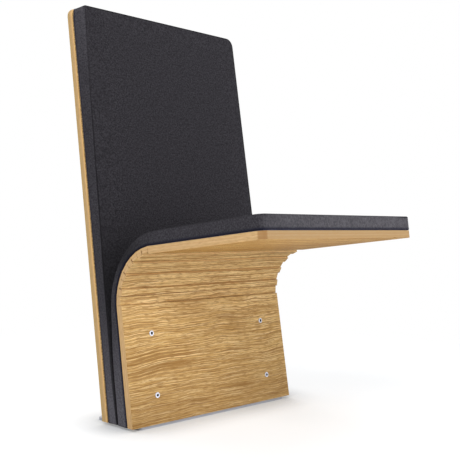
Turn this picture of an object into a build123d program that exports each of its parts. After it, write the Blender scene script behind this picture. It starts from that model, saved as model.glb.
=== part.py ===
"""Tip-up auditorium seat: a leaning sandwich of two boards and two pads on a floor plate.

The front board runs up from the floor, bends forward through nine hinged slats and carries on
as the seat board. A thin spring sheet behind the slats is the hinge of every joint, so the seat
folds up flat against the back. The slats close against each other when the seat is down.

Millimetres and degrees. +Z is up and the sitter faces -Y. The origin is on the floor, in the
middle of the four anchor holes.
"""

from build123d import *
import os
from math import cos, pi, radians, sin, tan

# ---- driving dimensions -------------------------------------------------------------------
WIDTH = 508  # boards, side to side
HEIGHT = 933  # floor to the top of the back
LEAN = 10  # the back leans away from upright
SEAT_TILT = 7  # the seat rises towards its front edge

# layers through the closed seat, from the front face to the rear face
FRONT_BOARD = 16
SHEET = 1.2  # spring steel
FRONT_PAD = 31
PAD_GAP = 0.4
BACK_PAD = 30.4
PAD_BOARD = 3
BACK_BOARD = 18

# the bend
SLATS = 9
PROUD_WIDTH = 18  # hinge to hinge
RECESSED_WIDTH = 21
RECESS = 4  # how far every other slat lies below its neighbours
FIRST_HINGE = 258  # from the foot of the front board, along the board
SLAT_GAP = 0.15  # each side of a hinge line
SLAT_EDGE = 0.6  # broken edge of a slat's face
SEAT_LENGTH = 317  # last hinge to the front edge
SEAT_CORNER = 16

# pads
CORNER = 22  # top corners of the back board and its pad
PAD_PROUD = 1  # pads stand this far out past the boards' edges
PAD_RISE = 3  # the back pad stands this far above the back board
PAD_RIM = 6  # round of a pad's outer rim
PAD_DRAW = 2.5  # how far a pad is drawn in to meet its board
FOAM_CUT = 3  # cut corner of the foam inside the rim
PAD_CROWN = 2.5
COVER = 1.5  # cloth and its backing
PAD_AT_PANEL = 24  # front pad where it leaves the front panel
PAD_AT_SEAT = 29  # front pad where the seat begins
PAD_DIP = 4  # how much thinner it is drawn in the middle of the bend
TAPER_START = 115  # along the front board, where the front pad begins to thin
SEAT_TAPER = 60

# floor plate and uprights
PLATE_WIDTH = 470
PLATE_FRONT = 55  # from the middle of the anchors to the plate's edges
PLATE_REAR = 88  # it runs out behind the back
PLATE = 6
PLATE_CORNER = 12
ANCHOR_X = 220
ANCHOR_Y = 60
ANCHOR_HOLE = 5.5  # radius
ANCHOR_POCKET = 26  # height left free in the pads over the anchors
UPRIGHT_X = 178
UPRIGHT_WIDTH = 40
UPRIGHT_STEEL = 3
UPRIGHT_TOP = 230
UPRIGHT_ROOM = 1  # left round the uprights in the pads

# fasteners
BOLT_MIDDLE = 126  # along the board, to the middle of the bolt rows
BOLT_PITCH = 132
BOLT_R = 3
BOLT_HOLE = 3.3
BOLT_HEAD_R = 6
BOLT_HEAD = 1.6
BOLT_SOCKET = 2.3
BOLT_SOCKET_DEPTH = 3
INSERT_R = 4.5
INSERT_LENGTH = 13
INSERT_BORE = 3.05
SCREW_R = 1.75
SCREW_HEAD_R = 3.5
SCREW_LENGTH = 9
SCREW_PITCH = 225
SCREW_INSET = 20  # from the last hinge
CLIP_R = 4
CLIP_DEPTH = 9
CLIP_PITCH_X = 380
CLIP_PITCH_S = 500
CLIP_MIDDLE = 600

# ---- places worked out from them ----------------------------------------------------------
TOTAL = FRONT_BOARD + SHEET + FRONT_PAD + PAD_GAP + BACK_PAD + PAD_BOARD + BACK_BOARD
FOOT_DEPTH = TOTAL / cos(radians(LEAN))
FRONT_Y = -FOOT_DEPTH / 2 - 6  # foot of the front face
PLATE_DEPTH = PLATE_FRONT + PLATE_REAR
HINGES = SLATS + 1
STEP = (90 + LEAN - SEAT_TILT) / HINGES  # turn of each hinge between seat down and seat up
SHEET_BACK = -FRONT_BOARD - SHEET
PAD_FACE = SHEET_BACK - FRONT_PAD  # rear face of the front pad
BACK_PAD_FACE = PAD_FACE - PAD_GAP
BACK_PAD_REAR = BACK_PAD_FACE - BACK_PAD
BACK_BOARD_FACE = BACK_PAD_REAR - PAD_BOARD
REAR_FACE = -TOTAL
PAD_HALF = WIDTH / 2 + PAD_PROUD
LONG = 3 * HEIGHT  # longer than anything, for blocks that are trimmed
FLOOR_CUT = Plane.XY.offset(PLATE)


def turned(heading):
    """The direction, in (Y, Z), that is turned forward from the leaning back by heading."""
    angle = radians(LEAN - heading)
    return sin(angle), cos(angle)


def section(start, heading):
    """A plane across the seat's width: x runs along the heading, y towards the wood's face."""
    along_y, along_z = turned(heading)
    return Plane(origin=(0, *start), x_dir=(0, along_y, along_z), z_dir=(1, 0, 0))


SLAB = section((FRONT_Y, PLATE), 0)  # local x along the boards, local y forward of the front face
UP = SLAB.x_dir
FACE = Plane(origin=SLAB.origin, x_dir=(1, 0, 0), z_dir=SLAB.y_dir)  # x across, y up the boards
CROSS = Plane(origin=SLAB.origin, x_dir=(1, 0, 0), z_dir=UP)  # x across, y backwards


def on_slab(along, forward):
    """(Y, Z) of a point given in the leaning section."""
    point = SLAB.from_local_coords((along, forward, 0))
    return point.Y, point.Z


def hinge_points():
    """(Y, Z) of the ten hinge lines, from the front panel to the seat board."""
    points = [on_slab(FIRST_HINGE, -FRONT_BOARD)]
    for slat in range(1, HINGES):
        along_y, along_z = turned(slat * STEP)
        last_y, last_z = points[-1]
        points.append((last_y + slat_width(slat) * along_y, last_z + slat_width(slat) * along_z))
    return points


def is_recessed(slat):
    return slat % 2 == 1


def slat_width(slat):
    return RECESSED_WIDTH if is_recessed(slat) else PROUD_WIDTH


def slat_thickness(slat):
    return FRONT_BOARD - RECESS if is_recessed(slat) else FRONT_BOARD


def bend_pad(hinge):
    """Thickness of the front pad over a hinge line, drawn thin round the bend."""
    share = hinge / SLATS
    return PAD_AT_PANEL + (PAD_AT_SEAT - PAD_AT_PANEL) * share - PAD_DIP * sin(pi * share)


HINGE = hinge_points()
SEAT = section(HINGE[-1], HINGES * STEP)  # x along the seat board from the last hinge
BEVEL = tan(radians(STEP / 2))  # lean of a slat's side face


def save(piece, name):
    piece.part.label = name
    export_step(piece.part, f"parts/{name}.step")


def layer(front, back):
    """A block between two depths of the slab, cut level at the floor plate."""
    with BuildPart() as block:
        with BuildSketch(SLAB):
            with Locations((0, (front + back) / 2)):
                Rectangle(LONG, front - back)
        extrude(amount=WIDTH / 2, both=True)
        split(bisect_by=FLOOR_CUT, keep=Keep.TOP)
    return block


def bolt_grid(radius, front, back):
    """Four cylinders on the bolts' axes, from one depth of the slab to another."""
    with BuildPart() as grid:
        with BuildSketch(FACE.offset(back)):
            with Locations((0, BOLT_MIDDLE)):
                with GridLocations(2 * UPRIGHT_X, BOLT_PITCH, 2, 2):
                    Circle(radius)
        extrude(amount=front - back)
    return grid


# ---- floor plate and uprights -------------------------------------------------------------
def base_plate():
    with BuildPart() as plate:
        with BuildSketch():
            with Locations((0, (PLATE_REAR - PLATE_FRONT) / 2)):
                RectangleRounded(PLATE_WIDTH, PLATE_DEPTH, PLATE_CORNER)
        extrude(amount=PLATE)
        with GridLocations(ANCHOR_X, ANCHOR_Y, 2, 2):
            Hole(ANCHOR_HOLE)
    return plate


def upright(side):
    """A channel welded to the plate: its web faces outwards and its flanges meet the boards."""
    depth = SHEET_BACK - BACK_PAD_REAR
    with BuildPart() as channel:
        with BuildSketch(CROSS.offset(-PLATE_DEPTH)):
            with Locations((side * UPRIGHT_X, -SHEET_BACK + depth / 2)):
                Rectangle(UPRIGHT_WIDTH, depth)
            with Locations((side * (UPRIGHT_X - UPRIGHT_STEEL), -SHEET_BACK + depth / 2)):
                Rectangle(UPRIGHT_WIDTH, depth - 2 * UPRIGHT_STEEL, mode=Mode.SUBTRACT)
        extrude(amount=PLATE_DEPTH + UPRIGHT_TOP)
        split(bisect_by=FLOOR_CUT, keep=Keep.TOP)
        add(bolt_grid(BOLT_HOLE, 0, REAR_FACE).part, mode=Mode.SUBTRACT)
    return channel


def frame_room(front, back):
    """What the pads leave free: the uprights' slots and the pocket over the anchors."""
    with BuildPart() as room:
        with BuildSketch(CROSS.offset(-PLATE_DEPTH)):
            for side in (-1, 1):
                with Locations((side * UPRIGHT_X, -(front + back) / 2)):
                    Rectangle(UPRIGHT_WIDTH + 2 * UPRIGHT_ROOM, front - back)
        extrude(amount=PLATE_DEPTH + UPRIGHT_TOP + UPRIGHT_ROOM)
        with Locations((0, 0, ANCHOR_POCKET / 2)):
            Box(2 * UPRIGHT_X, 2 * PLATE_DEPTH, ANCHOR_POCKET)
    return room


def panel_bolts():
    """Flat-headed bolts with a hexagon socket, from the front board into the back board."""
    with BuildPart() as bolts:
        add(bolt_grid(BOLT_R, 0, BACK_BOARD_FACE - INSERT_LENGTH + 1).part)
        add(bolt_grid(BOLT_HEAD_R, BOLT_HEAD, 0).part)
        rims = bolts.edges().filter_by(GeomType.CIRCLE).filter_by(
            lambda edge: FACE.to_local_coords(edge.center()).Z > BOLT_HEAD / 2
        )
        chamfer(rims, BOLT_HEAD / 3)
        with BuildSketch(FACE.offset(BOLT_HEAD)):
            with Locations((0, BOLT_MIDDLE)):
                with GridLocations(2 * UPRIGHT_X, BOLT_PITCH, 2, 2):
                    RegularPolygon(BOLT_SOCKET, 6)
        extrude(amount=-BOLT_SOCKET_DEPTH, mode=Mode.SUBTRACT)
    return bolts


def threaded_inserts():
    with BuildPart() as inserts:
        add(bolt_grid(INSERT_R, BACK_BOARD_FACE, BACK_BOARD_FACE - INSERT_LENGTH).part)
        add(bolt_grid(INSERT_BORE, 0, REAR_FACE).part, mode=Mode.SUBTRACT)
    return inserts


# ---- back ---------------------------------------------------------------------------------
def clip_grid(radius, front, back):
    with BuildPart() as grid:
        with BuildSketch(FACE.offset(back)):
            with Locations((0, CLIP_MIDDLE)):
                with GridLocations(CLIP_PITCH_X, CLIP_PITCH_S, 2, 2):
                    Circle(radius)
        extrude(amount=front - back)
    return grid


def outline_block(half, top, corner):
    """The back seen from the front, with its two rounded top corners, as a deep block."""
    with BuildPart() as block:
        with BuildSketch(Plane.XZ):
            with BuildLine():
                Polyline((-half, 0), (half, 0), (half, top), (-half, top), close=True)
            outline = make_face()
            fillet(outline.vertices().group_by(Axis.Y)[-1], corner)
        extrude(amount=LONG, both=True)
    return block


def back_panel():
    """Plywood back, cut level at foot and top, with blind holes on its pad side only."""
    with BuildPart() as panel:
        add(layer(BACK_BOARD_FACE, REAR_FACE).part)
        add(outline_block(WIDTH / 2, HEIGHT, CORNER).part, mode=Mode.INTERSECT)
        add(bolt_grid(INSERT_R, 0, BACK_BOARD_FACE - INSERT_LENGTH).part, mode=Mode.SUBTRACT)
        add(clip_grid(CLIP_R, 0, BACK_BOARD_FACE - CLIP_DEPTH).part, mode=Mode.SUBTRACT)
    return panel


def back_pad(inset):
    """The back pad's solid, or the foam inside it when inset by the cover's thickness."""
    half = PAD_HALF - inset
    top = HEIGHT + PAD_RISE - inset
    face = -BACK_PAD_FACE + inset
    with BuildPart() as pad:
        with BuildSketch(CROSS.offset(-HEIGHT)):
            with BuildLine():
                Line((half, face + PAD_CROWN), (half, -BACK_PAD_REAR))
                Line((half, -BACK_PAD_REAR), (-half, -BACK_PAD_REAR))
                Line((-half, -BACK_PAD_REAR), (-half, face + PAD_CROWN))
                ThreePointArc((-half, face + PAD_CROWN), (0, face), (half, face + PAD_CROWN))
            make_face()
        extrude(amount=LONG)
        add(outline_block(half, top, CORNER - inset).part, mode=Mode.INTERSECT)
        split(bisect_by=FLOOR_CUT, keep=Keep.TOP)
        rim = rim_edges(pad, -face - PAD_CROWN, top)
        if inset == 0:
            fillet(rim, PAD_RIM)
            chamfer(rim_edges(pad, BACK_PAD_REAR, top), PAD_DRAW)
        else:
            chamfer(rim, FOAM_CUT)
        add(frame_room(SHEET_BACK, BACK_PAD_REAR).part, mode=Mode.SUBTRACT)
    return pad


def rim_edges(pad, depth, top):
    """The edges round a back pad's face at that depth, without the foot."""
    return pad.edges().filter_by(
        lambda edge: abs(SLAB.to_local_coords(edge.center()).Y - depth) < 2 * PAD_CROWN
        and edge.center().Z > PLATE + 1
        and (abs(edge.center().X) > WIDTH / 4 or edge.center().Z > top - 1)
    )


def back_cover():
    with BuildPart() as cover:
        add(back_pad(0).part)
        add(back_pad(COVER).part, mode=Mode.SUBTRACT)
    return cover


def back_foam():
    return back_pad(COVER)


def back_pad_board():
    half = WIDTH / 2 - PAD_DRAW
    with BuildPart() as board:
        add(layer(BACK_PAD_REAR, BACK_BOARD_FACE).part)
        add(outline_block(half, HEIGHT - PAD_DRAW, CORNER).part, mode=Mode.INTERSECT)
        add(bolt_grid(BOLT_HOLE, 0, REAR_FACE).part, mode=Mode.SUBTRACT)
    return board


def pad_clips():
    """Press studs on the rear of the pad's board, pushed into the back panel."""
    with BuildPart() as clips:
        add(clip_grid(CLIP_R, BACK_BOARD_FACE, BACK_BOARD_FACE - CLIP_DEPTH).part)
    return clips


# ---- front panel --------------------------------------------------------------------------
def front_panel():
    with BuildPart() as panel:
        add(layer(0, -FRONT_BOARD).part)
        with BuildSketch(SLAB):
            with BuildLine():
                Polyline(
                    (FIRST_HINGE - SLAT_GAP, -FRONT_BOARD),
                    (FIRST_HINGE - SLAT_GAP - FRONT_BOARD * BEVEL, 0),
                    (-LONG / 4, 0),
                    (-LONG / 4, -FRONT_BOARD),
                    close=True,
                )
            make_face()
        extrude(amount=WIDTH / 2, both=True, mode=Mode.INTERSECT)
        add(bolt_grid(BOLT_HOLE, 0, REAR_FACE).part, mode=Mode.SUBTRACT)
    return panel


def spring_sheet_panel():
    with BuildPart() as sheet:
        with BuildSketch(SLAB):
            with Locations((FIRST_HINGE / 2 - SLAT_GAP, -FRONT_BOARD - SHEET / 2)):
                Rectangle(FIRST_HINGE, SHEET)
        extrude(amount=WIDTH / 2 - PAD_DRAW, both=True)
        split(bisect_by=FLOOR_CUT, keep=Keep.TOP)
        add(bolt_grid(BOLT_HOLE, 0, REAR_FACE).part, mode=Mode.SUBTRACT)
    return sheet


def lower_pad(inset):
    """The fixed end of the front pad, which thins towards the bend."""
    face = PAD_FACE + inset
    thin = SHEET_BACK - PAD_AT_PANEL + inset
    end = FIRST_HINGE - SLAT_GAP
    with BuildPart() as pad:
        with BuildSketch(SLAB):
            with BuildLine():
                Line((-PLATE_DEPTH, SHEET_BACK), (end, SHEET_BACK))
                Line((end, SHEET_BACK), (end, thin))
                TangentArc((TAPER_START, face), (end, thin), tangent=(1, 0))
                Line((TAPER_START, face), (-PLATE_DEPTH, face))
                Line((-PLATE_DEPTH, face), (-PLATE_DEPTH, SHEET_BACK))
            make_face()
        extrude(amount=PAD_HALF - inset, both=True)
        split(bisect_by=FLOOR_CUT, keep=Keep.TOP)
        long_edges = pad.edges().filter_by(end_edge).filter_by(
            lambda edge: edge.length > 2 * FRONT_PAD
        )
        by_depth = long_edges.sort_by(lambda edge: SLAB.to_local_coords(edge.center()).Y)
        if inset == 0:
            fillet(by_depth[:-2], PAD_RIM)
            chamfer(by_depth[-2:], PAD_DRAW)
        else:
            chamfer(by_depth[:-2], FOAM_CUT)
        add(frame_room(SHEET_BACK, BACK_PAD_REAR).part, mode=Mode.SUBTRACT)
    return pad


def lower_cover():
    with BuildPart() as cover:
        add(lower_pad(0).part)
        add(lower_pad(COVER).part, mode=Mode.SUBTRACT)
    return cover


def lower_foam():
    return lower_pad(COVER)


# ---- the bend -----------------------------------------------------------------------------
def slat(number):
    """One slat: its sides lean so that they close on its neighbours' when the seat is down."""
    width = slat_width(number)
    thick = slat_thickness(number)
    with BuildPart() as wood:
        with BuildSketch(section(HINGE[number - 1], number * STEP)):
            with BuildLine():
                Polyline(
                    (SLAT_GAP, 0),
                    (width - SLAT_GAP, 0),
                    (width - SLAT_GAP - thick * BEVEL, thick),
                    (SLAT_GAP + thick * BEVEL, thick),
                    close=True,
                )
            outline = make_face()
            fillet(outline.vertices().sort_by(Axis.Y)[-2:], SLAT_EDGE)
        extrude(amount=WIDTH / 2, both=True)
    return wood


def slat_sheet(number):
    width = slat_width(number)
    with BuildPart() as sheet:
        with BuildSketch(section(HINGE[number - 1], number * STEP)):
            with Locations((width / 2, -SHEET / 2)):
                Rectangle(width - 2 * SLAT_GAP, SHEET)
        extrude(amount=WIDTH / 2 - PAD_DRAW, both=True)
    return sheet


def slat_pad(number):
    """The stretch of the front pad over one slat."""
    width = slat_width(number)
    start = HINGE[number - 1]
    with BuildPart() as pad:
        with BuildSketch(section(start, number * STEP)):
            with BuildLine():
                Polyline(
                    (SLAT_GAP, -SHEET),
                    (width - SLAT_GAP, -SHEET),
                    (width - SLAT_GAP, -SHEET - bend_pad(number)),
                    (SLAT_GAP, -SHEET - bend_pad(number - 1)),
                    close=True,
                )
            make_face()
        extrude(amount=PAD_HALF, both=True)
        by_depth = pad.faces().sort_by(
            lambda face: section(start, number * STEP).to_local_coords(face.center()).Y
        )
        fillet(by_depth[0].edges().filter_by(end_edge), PAD_RIM)
        chamfer(by_depth[-1].edges().filter_by(end_edge), PAD_DRAW)
    return pad


def end_edge(edge):
    return abs(edge.center().X) > WIDTH / 4


# ---- seat ---------------------------------------------------------------------------------
def seat_board():
    with BuildPart() as board:
        with BuildSketch(SEAT):
            with BuildLine():
                Polyline(
                    (SLAT_GAP, 0),
                    (SEAT_LENGTH, 0),
                    (SEAT_LENGTH, FRONT_BOARD),
                    (SLAT_GAP + FRONT_BOARD * BEVEL, FRONT_BOARD),
                    close=True,
                )
            make_face()
        extrude(amount=WIDTH / 2, both=True)
        fillet(front_corners(board), SEAT_CORNER)
        add(seat_screws().part, mode=Mode.SUBTRACT)
    return board


def front_corners(piece):
    """The two upright edges at the front of a seat piece."""
    return piece.edges().filter_by(
        lambda edge: abs(edge.center().X) > WIDTH / 4
        and SEAT.to_local_coords(edge.center()).X > SEAT_LENGTH - SEAT_CORNER / 2
        and abs(edge.tangent_at(0.5).dot(SEAT.y_dir)) > cos(radians(STEP))
    )


def seat_screws():
    """Flat-headed screws that pin the spring sheet to the seat board beside the bend."""
    rear = Plane(
        origin=SEAT.from_local_coords((SCREW_INSET, -SHEET, 0)), x_dir=(1, 0, 0), z_dir=SEAT.y_dir
    )
    with BuildPart() as screws:
        with BuildSketch(rear):
            with GridLocations(SCREW_PITCH, 1, 3, 1):
                Circle(SCREW_HEAD_R)
        extrude(amount=SHEET)
        with BuildSketch(rear):
            with GridLocations(SCREW_PITCH, 1, 3, 1):
                Circle(SCREW_R)
        extrude(amount=SHEET + SCREW_LENGTH)
    return screws


def spring_sheet_seat():
    with BuildPart() as sheet:
        with BuildSketch(SEAT):
            with BuildLine():
                Polyline(
                    (SLAT_GAP, -SHEET),
                    (SEAT_LENGTH - PAD_DRAW, -SHEET),
                    (SEAT_LENGTH - PAD_DRAW, 0),
                    (SLAT_GAP, 0),
                    close=True,
                )
            make_face()
        extrude(amount=WIDTH / 2 - PAD_DRAW, both=True)
        fillet(front_corners(sheet), SEAT_CORNER - PAD_DRAW)
        add(seat_screws().part, mode=Mode.SUBTRACT)
    return sheet


def seat_pad(inset):
    """The seat pad's solid, or the foam inside it when inset by the cover's thickness."""
    half = PAD_HALF - inset
    top = SHEET + FRONT_PAD - inset
    thin = SHEET + PAD_AT_SEAT - inset
    end = SEAT_LENGTH + PAD_PROUD - inset
    with BuildPart() as pad:
        with BuildSketch(SEAT):
            with BuildLine():
                Line((SLAT_GAP, -SHEET), (end, -SHEET))
                Line((end, -SHEET), (end, -top))
                Line((end, -top), (SEAT_TAPER, -top))
                TangentArc((SEAT_TAPER, -top), (SLAT_GAP, -thin), tangent=(-1, 0))
                Line((SLAT_GAP, -thin), (SLAT_GAP, -SHEET))
            make_face()
        extrude(amount=half, both=True)
        fillet(front_corners(pad), SEAT_CORNER - inset)
        if inset == 0:
            fillet(seat_rim(pad, top), PAD_RIM)
            chamfer(seat_rim(pad, SHEET), PAD_DRAW)
        else:
            chamfer(seat_rim(pad, top), FOAM_CUT)
    return pad


def seat_rim(pad, height):
    """The edges round the seat pad at that height, without the end at the bend."""
    return pad.edges().filter_by(
        lambda edge: abs(SEAT.to_local_coords(edge.center()).Y + height) < PAD_CROWN
        and SEAT.to_local_coords(edge.center()).X > 1
        and (
            abs(edge.center().X) > WIDTH / 4
            or SEAT.to_local_coords(edge.center()).X > SEAT_LENGTH - 1
        )
    )


def seat_cover():
    with BuildPart() as cover:
        add(seat_pad(0).part)
        add(seat_pad(COVER).part, mode=Mode.SUBTRACT)
    return cover


def seat_foam():
    return seat_pad(COVER)


# ---- write the pieces ---------------------------------------------------------------------
os.makedirs("parts", exist_ok=True)

save(base_plate(), "base_plate")
save(upright(-1), "upright_left")
save(upright(1), "upright_right")
save(panel_bolts(), "panel_bolts")
save(threaded_inserts(), "threaded_inserts")

save(back_panel(), "back_panel")
save(back_pad_board(), "back_pad_board")
save(pad_clips(), "pad_clips")
save(back_foam(), "back_foam")
save(back_cover(), "back_cover")

save(front_panel(), "front_panel")
save(spring_sheet_panel(), "spring_sheet_panel")
save(lower_foam(), "lower_foam")
save(lower_cover(), "lower_cover")

for number in range(1, HINGES):
    save(slat(number), f"slat_{number}")
    save(slat_sheet(number), f"spring_sheet_{number}")
    save(slat_pad(number), f"bend_pad_{number}")

save(seat_board(), "seat_board")
save(spring_sheet_seat(), "spring_sheet_seat")
save(seat_screws(), "seat_screws")
save(seat_foam(), "seat_foam")
save(seat_cover(), "seat_cover")

for number, (hinge_y, hinge_z) in enumerate(HINGE, start=1):
    print(f"hinge {number}: y {hinge_y:.3f} z {hinge_z:.3f}")
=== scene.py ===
"""Tip-up auditorium seat, dressed: oak plywood, charcoal upholstery, zinc bolts, painted plate.

The front pad and the back pad are made flat, puffed up as cloth over foam, and then laid over
the boards. The front pad is cut between the slats, and each length bends across one hinge.

Lengths are in metres. Along the boards, a place is given by s, its distance from the foot of the
front panel, up the panel, round the slats and out over the seat.
"""

from math import cos, pi, radians, sin

import bpy
import numpy as np
from mathutils import Matrix, Vector


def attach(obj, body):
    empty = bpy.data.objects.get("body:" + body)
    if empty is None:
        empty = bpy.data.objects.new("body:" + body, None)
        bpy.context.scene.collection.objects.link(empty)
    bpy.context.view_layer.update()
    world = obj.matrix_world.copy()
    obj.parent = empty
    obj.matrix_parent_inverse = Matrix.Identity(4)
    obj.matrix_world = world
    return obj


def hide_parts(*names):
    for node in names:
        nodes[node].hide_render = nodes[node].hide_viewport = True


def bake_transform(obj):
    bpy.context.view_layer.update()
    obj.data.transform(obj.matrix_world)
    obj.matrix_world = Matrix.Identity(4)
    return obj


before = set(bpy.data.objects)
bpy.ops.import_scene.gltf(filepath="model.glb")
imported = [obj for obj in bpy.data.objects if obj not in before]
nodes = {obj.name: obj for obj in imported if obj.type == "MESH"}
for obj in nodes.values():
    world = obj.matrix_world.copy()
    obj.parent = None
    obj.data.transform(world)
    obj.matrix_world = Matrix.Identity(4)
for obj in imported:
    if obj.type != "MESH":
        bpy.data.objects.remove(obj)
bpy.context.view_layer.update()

# ---- dimensions, as in the part's source ----------------------------------------------------
LEAN = 10  # degrees, of the back
SEAT_TILT = 7  # degrees, up towards the seat's front edge
HALF = 0.254
HEIGHT = 0.933
FRONT_BOARD = 0.016
SHEET = 0.0012
FRONT_PAD = 0.031
PAD_GAP = 0.0004
BACK_PAD = 0.0304
PAD_BOARD = 0.003
BACK_BOARD = 0.018
PLATE = 0.006
FOOT_SHIFT = 0.006  # the boards stand this far in front of the middle of the anchor holes
FIRST_HINGE = 0.258
SLATS = 9
PROUD_WIDTH = 0.018
RECESSED_WIDTH = 0.021
SEAT_LENGTH = 0.317
SEAT_CORNER = 0.016
CORNER = 0.022
PAD_PROUD = 0.001
PAD_RISE = 0.003
BOLT_X = 0.178
BOLT_MIDDLE = 0.126
BOLT_PITCH = 0.132
# painted shade in and round the bolts' hexagon sockets
BOLT_SOCKET_SHADE = (0.0031, 0.0035)  # radius where it is darkest, and with its soft rim

HINGES = SLATS + 1
STEP = (90 + LEAN - SEAT_TILT) / HINGES
TOTAL = FRONT_BOARD + SHEET + FRONT_PAD + PAD_GAP + BACK_PAD + PAD_BOARD + BACK_BOARD
FRONT_Y = -TOTAL / cos(radians(LEAN)) / 2 - FOOT_SHIFT
BACK_REAR = FRONT_BOARD + SHEET + FRONT_PAD + PAD_GAP + BACK_PAD  # depth of the back pad's rear


def along(heading):
    """(Y, Z) direction along a board that is turned forward by heading."""
    return np.array([sin(radians(LEAN - heading)), cos(radians(LEAN - heading))])


def outward(heading):
    """(Y, Z) direction from a board's rear face through its front face."""
    y, z = along(heading)
    return np.array([-z, y])


FOOT = np.array([FRONT_Y, PLATE])  # (Y, Z) of the front face's foot
WIDTHS = [RECESSED_WIDTH if n % 2 else PROUD_WIDTH for n in range(1, SLATS + 1)]
HINGE_S = FIRST_HINGE + np.concatenate([[0], np.cumsum(WIDTHS)])
HINGE_YZ = [FOOT + FIRST_HINGE * along(0) - FRONT_BOARD * outward(0)]
for slat, width in enumerate(WIDTHS, start=1):
    HINGE_YZ.append(HINGE_YZ[-1] + width * along(slat * STEP))
HINGE_YZ = np.array(HINGE_YZ)
LAST_HINGE = HINGE_S[-1]
SEAT_END = LAST_HINGE + SEAT_LENGTH
# where the front pad is cut: mid-slat, and half a slat below the first hinge and past the last
HALF_SLAT = (PROUD_WIDTH + RECESSED_WIDTH) / 4
MIDDLES = (HINGE_S[:-1] + HINGE_S[1:]) / 2
CUTS = np.concatenate([[HINGE_S[0] - HALF_SLAT], MIDDLES, [LAST_HINGE + HALF_SLAT]])


# ---- nodes and colours ----------------------------------------------------------------------
def srgb(red, green, blue):
    """A colour given as it shows on a screen, from 0 to 255."""
    out = []
    for level in (red, green, blue):
        share = level / 255
        out.append(share / 12.92 if share <= 0.04045 else ((share + 0.055) / 1.055) ** 2.4)
    return (*out, 1.0)


def shade(colour, share):
    """A colour at a share of its brightness."""
    return (*(share * level for level in colour[:3]), 1.0)


WHITE = (1.0, 1.0, 1.0, 1.0)


class Graph:
    """Short calls for the nodes of one tree. A value is a number, a tuple or a socket."""

    def __init__(self, tree):
        tree.nodes.clear()
        self.tree = tree

    def new(self, kind, **settings):
        node = self.tree.nodes.new("ShaderNode" + kind)
        for key, value in settings.items():
            setattr(node, key, value)
        return node

    def plug(self, value, socket):
        """Joins a socket to another one, or sets it to a constant."""
        if isinstance(value, bpy.types.NodeSocket):
            self.tree.links.new(value, socket)
        else:
            socket.default_value = value

    def feed(self, node, *values):
        """Plugs values into a node's inputs in their order, and gives its first output."""
        for value, socket in zip(values, node.inputs):
            self.plug(value, socket)
        return node.outputs[0]

    def math(self, operation, *values):
        return self.feed(self.new("Math", operation=operation), *values)

    def fold(self, operation, first, *others):
        for other in others:
            first = self.math(operation, first, other)
        return first

    def plus(self, *values):
        return self.fold("ADD", *values)

    def minus(self, *values):
        return self.fold("SUBTRACT", *values)

    def times(self, *values):
        return self.fold("MULTIPLY", *values)

    def highest(self, *values):
        return self.fold("MAXIMUM", *values)

    def distance(self, across, up):
        return self.math("SQRT", self.plus(self.times(across, across), self.times(up, up)))

    def combine(self, *values):
        return self.feed(self.new("CombineXYZ"), *values)

    def split(self, vector):
        node = self.new("SeparateXYZ")
        self.feed(node, vector)
        return node.outputs

    def dot(self, vector, direction):
        node = self.new("VectorMath", operation="DOT_PRODUCT")
        self.feed(node, vector, direction)
        return node.outputs["Value"]

    def run(self, point, place, direction):
        """How far a point lies from a (Y, Z) place, measured along a (Y, Z) direction."""
        offset = self.feed(self.new("VectorMath", operation="SUBTRACT"), point, (0, *place))
        return self.dot(offset, (0, *direction))

    def object_point(self):
        return self.new("TexCoord").outputs["Object"]

    def facing(self, direction):
        """1 where the surface faces a direction, either way, and 0 where it lies along it."""
        return self.math("ABSOLUTE", self.dot(self.new("TexCoord").outputs["Normal"], direction))

    def ramp(self, value, low, high, start=0.0, end=1.0, kind="LINEAR"):
        """Start up to low, end from high on, and a slope between."""
        node = self.new("MapRange", interpolation_type=kind)
        keys = ("Value", "From Min", "From Max", "To Min", "To Max")
        for key, number in zip(keys, (value, low, high, start, end)):
            self.plug(number, node.inputs[key])
        return node.outputs[0]

    def smooth(self, *numbers):
        """A ramp that is rounded off at both ends."""
        return self.ramp(*numbers, kind="SMOOTHSTEP")

    def noise(self, vector, scale, detail, roughness):
        node = self.new("TexNoise")
        self.plug(vector, node.inputs["Vector"])
        node.inputs["Scale"].default_value = scale
        node.inputs["Detail"].default_value = detail
        node.inputs["Roughness"].default_value = roughness
        return node.outputs[0]

    def mix(self, share, first, second, blend="MIX"):
        node = self.new("Mix", data_type="RGBA", blend_type=blend)
        self.plug(share, node.inputs[0])
        self.plug(first, node.inputs[6])  # the colour sockets
        self.plug(second, node.inputs[7])
        return node.outputs[2]

    def paint(self, colour, *coats):
        """Lays coats over a colour, in order. Each is a share and the coat's colour."""
        for share, coat in coats:
            colour = self.mix(share, colour, coat)
        return colour

    def bands(self, value, stops):
        """Colours that follow each other as a value goes from 0 to 1."""
        node = self.new("ValToRGB")
        elements = node.color_ramp.elements
        while len(elements) < len(stops):
            elements.new(0.5)
        for element, (place, colour) in zip(elements, stops):
            element.position = place
            element.color = colour
        return self.feed(node, value)

    def bump(self, height, shader, distance, strength):
        node = self.new("Bump")
        node.inputs["Strength"].default_value = strength
        node.inputs["Distance"].default_value = distance
        self.plug(height, node.inputs["Height"])
        self.plug(node.outputs[0], shader.inputs["Normal"])

    def seen(self):
        """1 for the rays that see the background: the camera's, in gloss and through glass."""
        path = self.new("LightPath").outputs
        return self.highest(
            path["Is Camera Ray"], path["Is Glossy Ray"], path["Is Transmission Ray"]
        )


def material(name):
    """A new material, its graph and its shader."""
    made = bpy.data.materials.new(name)
    made.use_nodes = True
    g = Graph(made.node_tree)
    shader = g.new("BsdfPrincipled")
    g.plug(shader.outputs[0], g.new("OutputMaterial").inputs[0])
    return made, g, shader


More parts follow.
